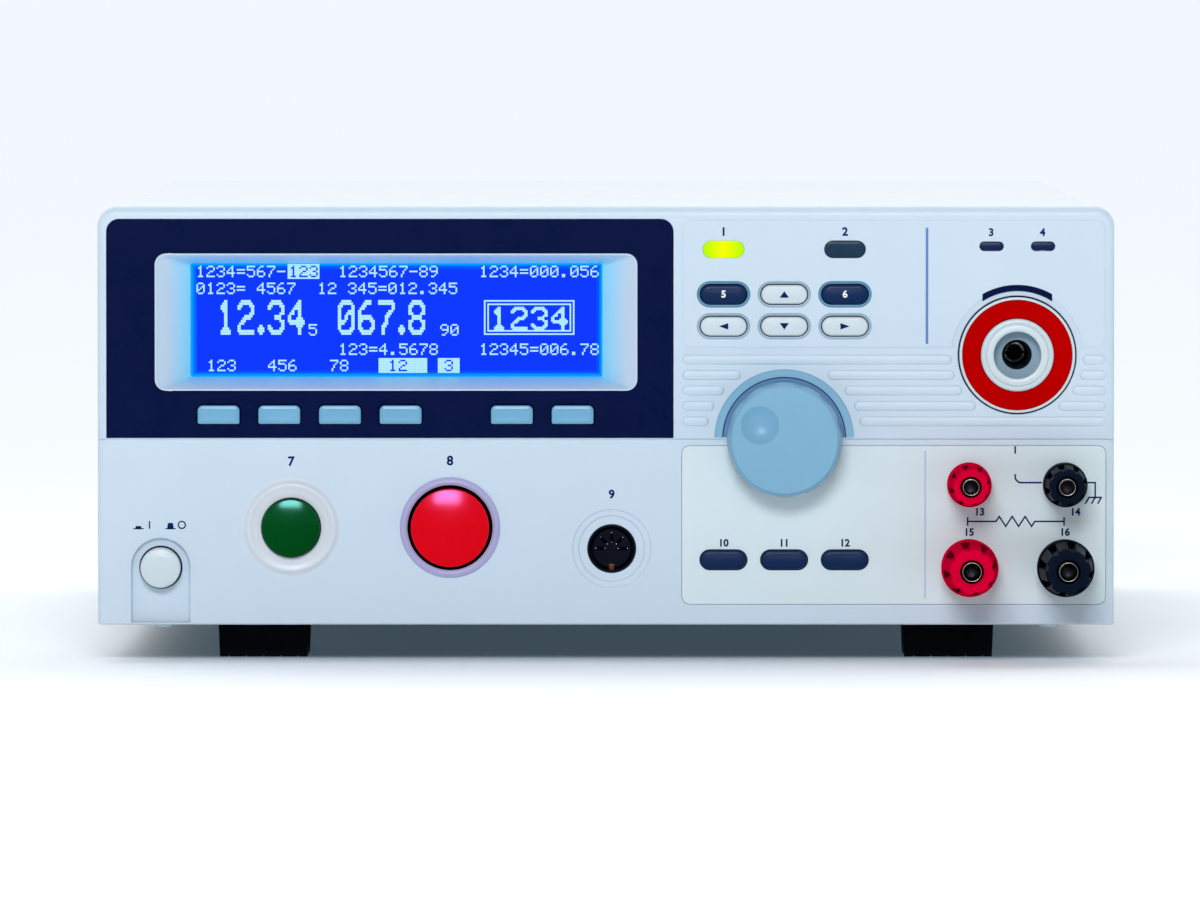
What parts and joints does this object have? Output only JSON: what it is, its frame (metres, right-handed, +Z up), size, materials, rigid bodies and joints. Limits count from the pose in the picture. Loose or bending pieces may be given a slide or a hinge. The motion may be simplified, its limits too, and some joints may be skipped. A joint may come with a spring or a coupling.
{
  "type": "hipot tester",
  "caption": "Benchtop high-voltage and ground-bond safety tester: moulded front with display, keys, dial, shrouded test terminal and binding posts on a deep painted steel case.",
  "frame": {"origin": "on the table, under the middle of the tester's bounding box, at the soles of its feet", "axes": "+X to the right as seen by the user, -Y towards the user (the front panel faces -Y), +Z up"},
  "size_m": [0.33, 0.585, 0.148],
  "materials": {
    "aluminium": "extruded",
    "black_plastic": "satin",
    "circuit_board": "satin",
    "frame_plastic": "fine texture",
    "green_plastic": "glossy",
    "label_film": "satin",
    "lamp_dark": "glossy",
    "lamp_green": "glossy",
    "navy_plastic": "satin",
    "painted_steel": "satin",
    "pale_blue_plastic": "satin",
    "plated_brass": "polished",
    "potting": "varnished",
    "red_plastic": "glossy",
    "screen_blue": "glossy",
    "transformer_steel": "varnished",
    "white_plastic": "satin",
    "zinc_steel": "satin"
  },
  "bodies": {
    "case": {"amplifier_heatsink": "aluminium", "chassis_tray": "zinc_steel", "control_board": "circuit_board", "display_panel": "navy_plastic", "earth_terminal": "plated_brass", "fail_lamp": "lamp_dark", "fan_frame": "black_plastic", "fan_guard": "zinc_steel", "front_foot_left": "black_plastic", "front_foot_right": "black_plastic", "front_frame": "frame_plastic", "hv_bushing": "white_plastic", "hv_contact": "plated_brass", "hv_ring": "red_plastic", "hv_transformer": "potting", "interface_board": "circuit_board", "lcd_module": "screen_blue", "lower_overlay": "label_film", "mains_inlet": "black_plastic", "panel_board": "circuit_board", "pass_lamp": "lamp_green", "power_transformer": "transformer_steel", "rear_foot_left": "black_plastic", "rear_foot_right": "black_plastic", "rear_panel": "painted_steel", "remote_socket": "black_plastic", "sense_h_post": "red_plastic", "sense_l_post": "black_plastic", "source_h_post": "red_plastic", "source_l_post": "black_plastic", "start_switch": "white_plastic", "status_lens": "lamp_dark", "stop_switch": "white_plastic", "top_cover": "painted_steel"},
    "left_key": {"left_key": "white_plastic"},
    "esc_key": {"esc_key": "navy_plastic"},
    "down_key": {"down_key": "white_plastic"},
    "up_key": {"up_key": "white_plastic"},
    "right_key": {"right_key": "white_plastic"},
    "page_key": {"page_key": "navy_plastic"},
    "mode_key": {"mode_key": "navy_plastic"},
    "edit_key": {"edit_key": "navy_plastic"},
    "utility_key": {"utility_key": "navy_plastic"},
    "soft_key_1": {"soft_key_1": "pale_blue_plastic"},
    "soft_key_2": {"soft_key_2": "pale_blue_plastic"},
    "soft_key_3": {"soft_key_3": "pale_blue_plastic"},
    "soft_key_4": {"soft_key_4": "pale_blue_plastic"},
    "soft_key_5": {"soft_key_5": "pale_blue_plastic"},
    "soft_key_6": {"soft_key_6": "pale_blue_plastic"},
    "start_button": {"start_button": "green_plastic"},
    "stop_button": {"stop_button": "red_plastic"},
    "power_button": {"power_button": "white_plastic"},
    "dial": {"dial": "pale_blue_plastic"},
    "fan_rotor": {"fan_rotor": "black_plastic"},
    "tilt_leg_left": {"tilt_leg_left": "black_plastic"},
    "tilt_leg_right": {"tilt_leg_right": "black_plastic"},
    "source_h_cap": {"source_h_cap": "red_plastic"},
    "source_l_cap": {"source_l_cap": "black_plastic"},
    "sense_h_cap": {"sense_h_cap": "red_plastic"},
    "sense_l_cap": {"sense_l_cap": "black_plastic"}
  },
  "joints": [
    {"name": "left_key_press", "type": "slide", "parent": "case", "child": "left_key", "axis": [0, 1, 0], "range_m": [0, 0.001], "stiffness_N_per_m": 900},
    {"name": "esc_key_press", "type": "slide", "parent": "case", "child": "esc_key", "axis": [0, 1, 0], "range_m": [0, 0.001], "stiffness_N_per_m": 900},
    {"name": "down_key_press", "type": "slide", "parent": "case", "child": "down_key", "axis": [0, 1, 0], "range_m": [0, 0.001], "stiffness_N_per_m": 900},
    {"name": "up_key_press", "type": "slide", "parent": "case", "child": "up_key", "axis": [0, 1, 0], "range_m": [0, 0.001], "stiffness_N_per_m": 900},
    {"name": "right_key_press", "type": "slide", "parent": "case", "child": "right_key", "axis": [0, 1, 0], "range_m": [0, 0.001], "stiffness_N_per_m": 900},
    {"name": "page_key_press", "type": "slide", "parent": "case", "child": "page_key", "axis": [0, 1, 0], "range_m": [0, 0.001], "stiffness_N_per_m": 900},
    {"name": "mode_key_press", "type": "slide", "parent": "case", "child": "mode_key", "axis": [0, 1, 0], "range_m": [0, 0.001], "stiffness_N_per_m": 900},
    {"name": "edit_key_press", "type": "slide", "parent": "case", "child": "edit_key", "axis": [0, 1, 0], "range_m": [0, 0.001], "stiffness_N_per_m": 900},
    {"name": "utility_key_press", "type": "slide", "parent": "case", "child": "utility_key", "axis": [0, 1, 0], "range_m": [0, 0.001], "stiffness_N_per_m": 900},
    {"name": "soft_key_1_press", "type": "slide", "parent": "case", "child": "soft_key_1", "axis": [0, 1, 0], "range_m": [0, 0.001], "stiffness_N_per_m": 900},
    {"name": "soft_key_2_press", "type": "slide", "parent": "case", "child": "soft_key_2", "axis": [0, 1, 0], "range_m": [0, 0.001], "stiffness_N_per_m": 900},
    {"name": "soft_key_3_press", "type": "slide", "parent": "case", "child": "soft_key_3", "axis": [0, 1, 0], "range_m": [0, 0.001], "stiffness_N_per_m": 900},
    {"name": "soft_key_4_press", "type": "slide", "parent": "case", "child": "soft_key_4", "axis": [0, 1, 0], "range_m": [0, 0.001], "stiffness_N_per_m": 900},
    {"name": "soft_key_5_press", "type": "slide", "parent": "case", "child": "soft_key_5", "axis": [0, 1, 0], "range_m": [0, 0.001], "stiffness_N_per_m": 900},
    {"name": "soft_key_6_press", "type": "slide", "parent": "case", "child": "soft_key_6", "axis": [0, 1, 0], "range_m": [0, 0.001], "stiffness_N_per_m": 900},
    {"name": "start_press", "type": "slide", "parent": "case", "child": "start_button", "axis": [0, 1, 0], "range_m": [0, 0.003], "stiffness_N_per_m": 700},
    {"name": "stop_press", "type": "slide", "parent": "case", "child": "stop_button", "axis": [0, 1, 0], "range_m": [0, 0.003], "stiffness_N_per_m": 700},
    {"name": "power_press", "type": "slide", "parent": "case", "child": "power_button", "axis": [0, 1, 0], "range_m": [0, 0.004], "stiffness_N_per_m": 500},
    {"name": "source_h_cap_run", "type": "slide", "parent": "case", "child": "source_h_cap", "axis": [0, -1, 0], "range_m": [0, 0.005]},
    {"name": "source_l_cap_run", "type": "slide", "parent": "case", "child": "source_l_cap", "axis": [0, -1, 0], "range_m": [0, 0.005]},
    {"name": "sense_h_cap_run", "type": "slide", "parent": "case", "child": "sense_h_cap", "axis": [0, -1, 0], "range_m": [0, 0.005]},
    {"name": "sense_l_cap_run", "type": "slide", "parent": "case", "child": "sense_l_cap", "axis": [0, -1, 0], "range_m": [0, 0.005]},
    {"name": "dial_turn", "type": "hinge", "parent": "case", "child": "dial", "pos_m": [0.0579, -0.2535, 0.0724], "axis": [0, 1, 0], "continuous": true},
    {"name": "fan_spin", "type": "hinge", "parent": "case", "child": "fan_rotor", "pos_m": [0.099, 0.2767, 0.074], "axis": [0, 1, 0], "continuous": true},
    {"name": "tilt_leg_left_fold", "type": "hinge", "parent": "case", "child": "tilt_leg_left", "pos_m": [-0.112, -0.2157, 0.0032], "axis": [-1, 0, 0], "range_deg": [0, 105]},
    {"name": "tilt_leg_right_fold", "type": "hinge", "parent": "case", "child": "tilt_leg_right", "pos_m": [0.112, -0.2157, 0.0032], "axis": [-1, 0, 0], "range_deg": [0, 105]}
  ]
}
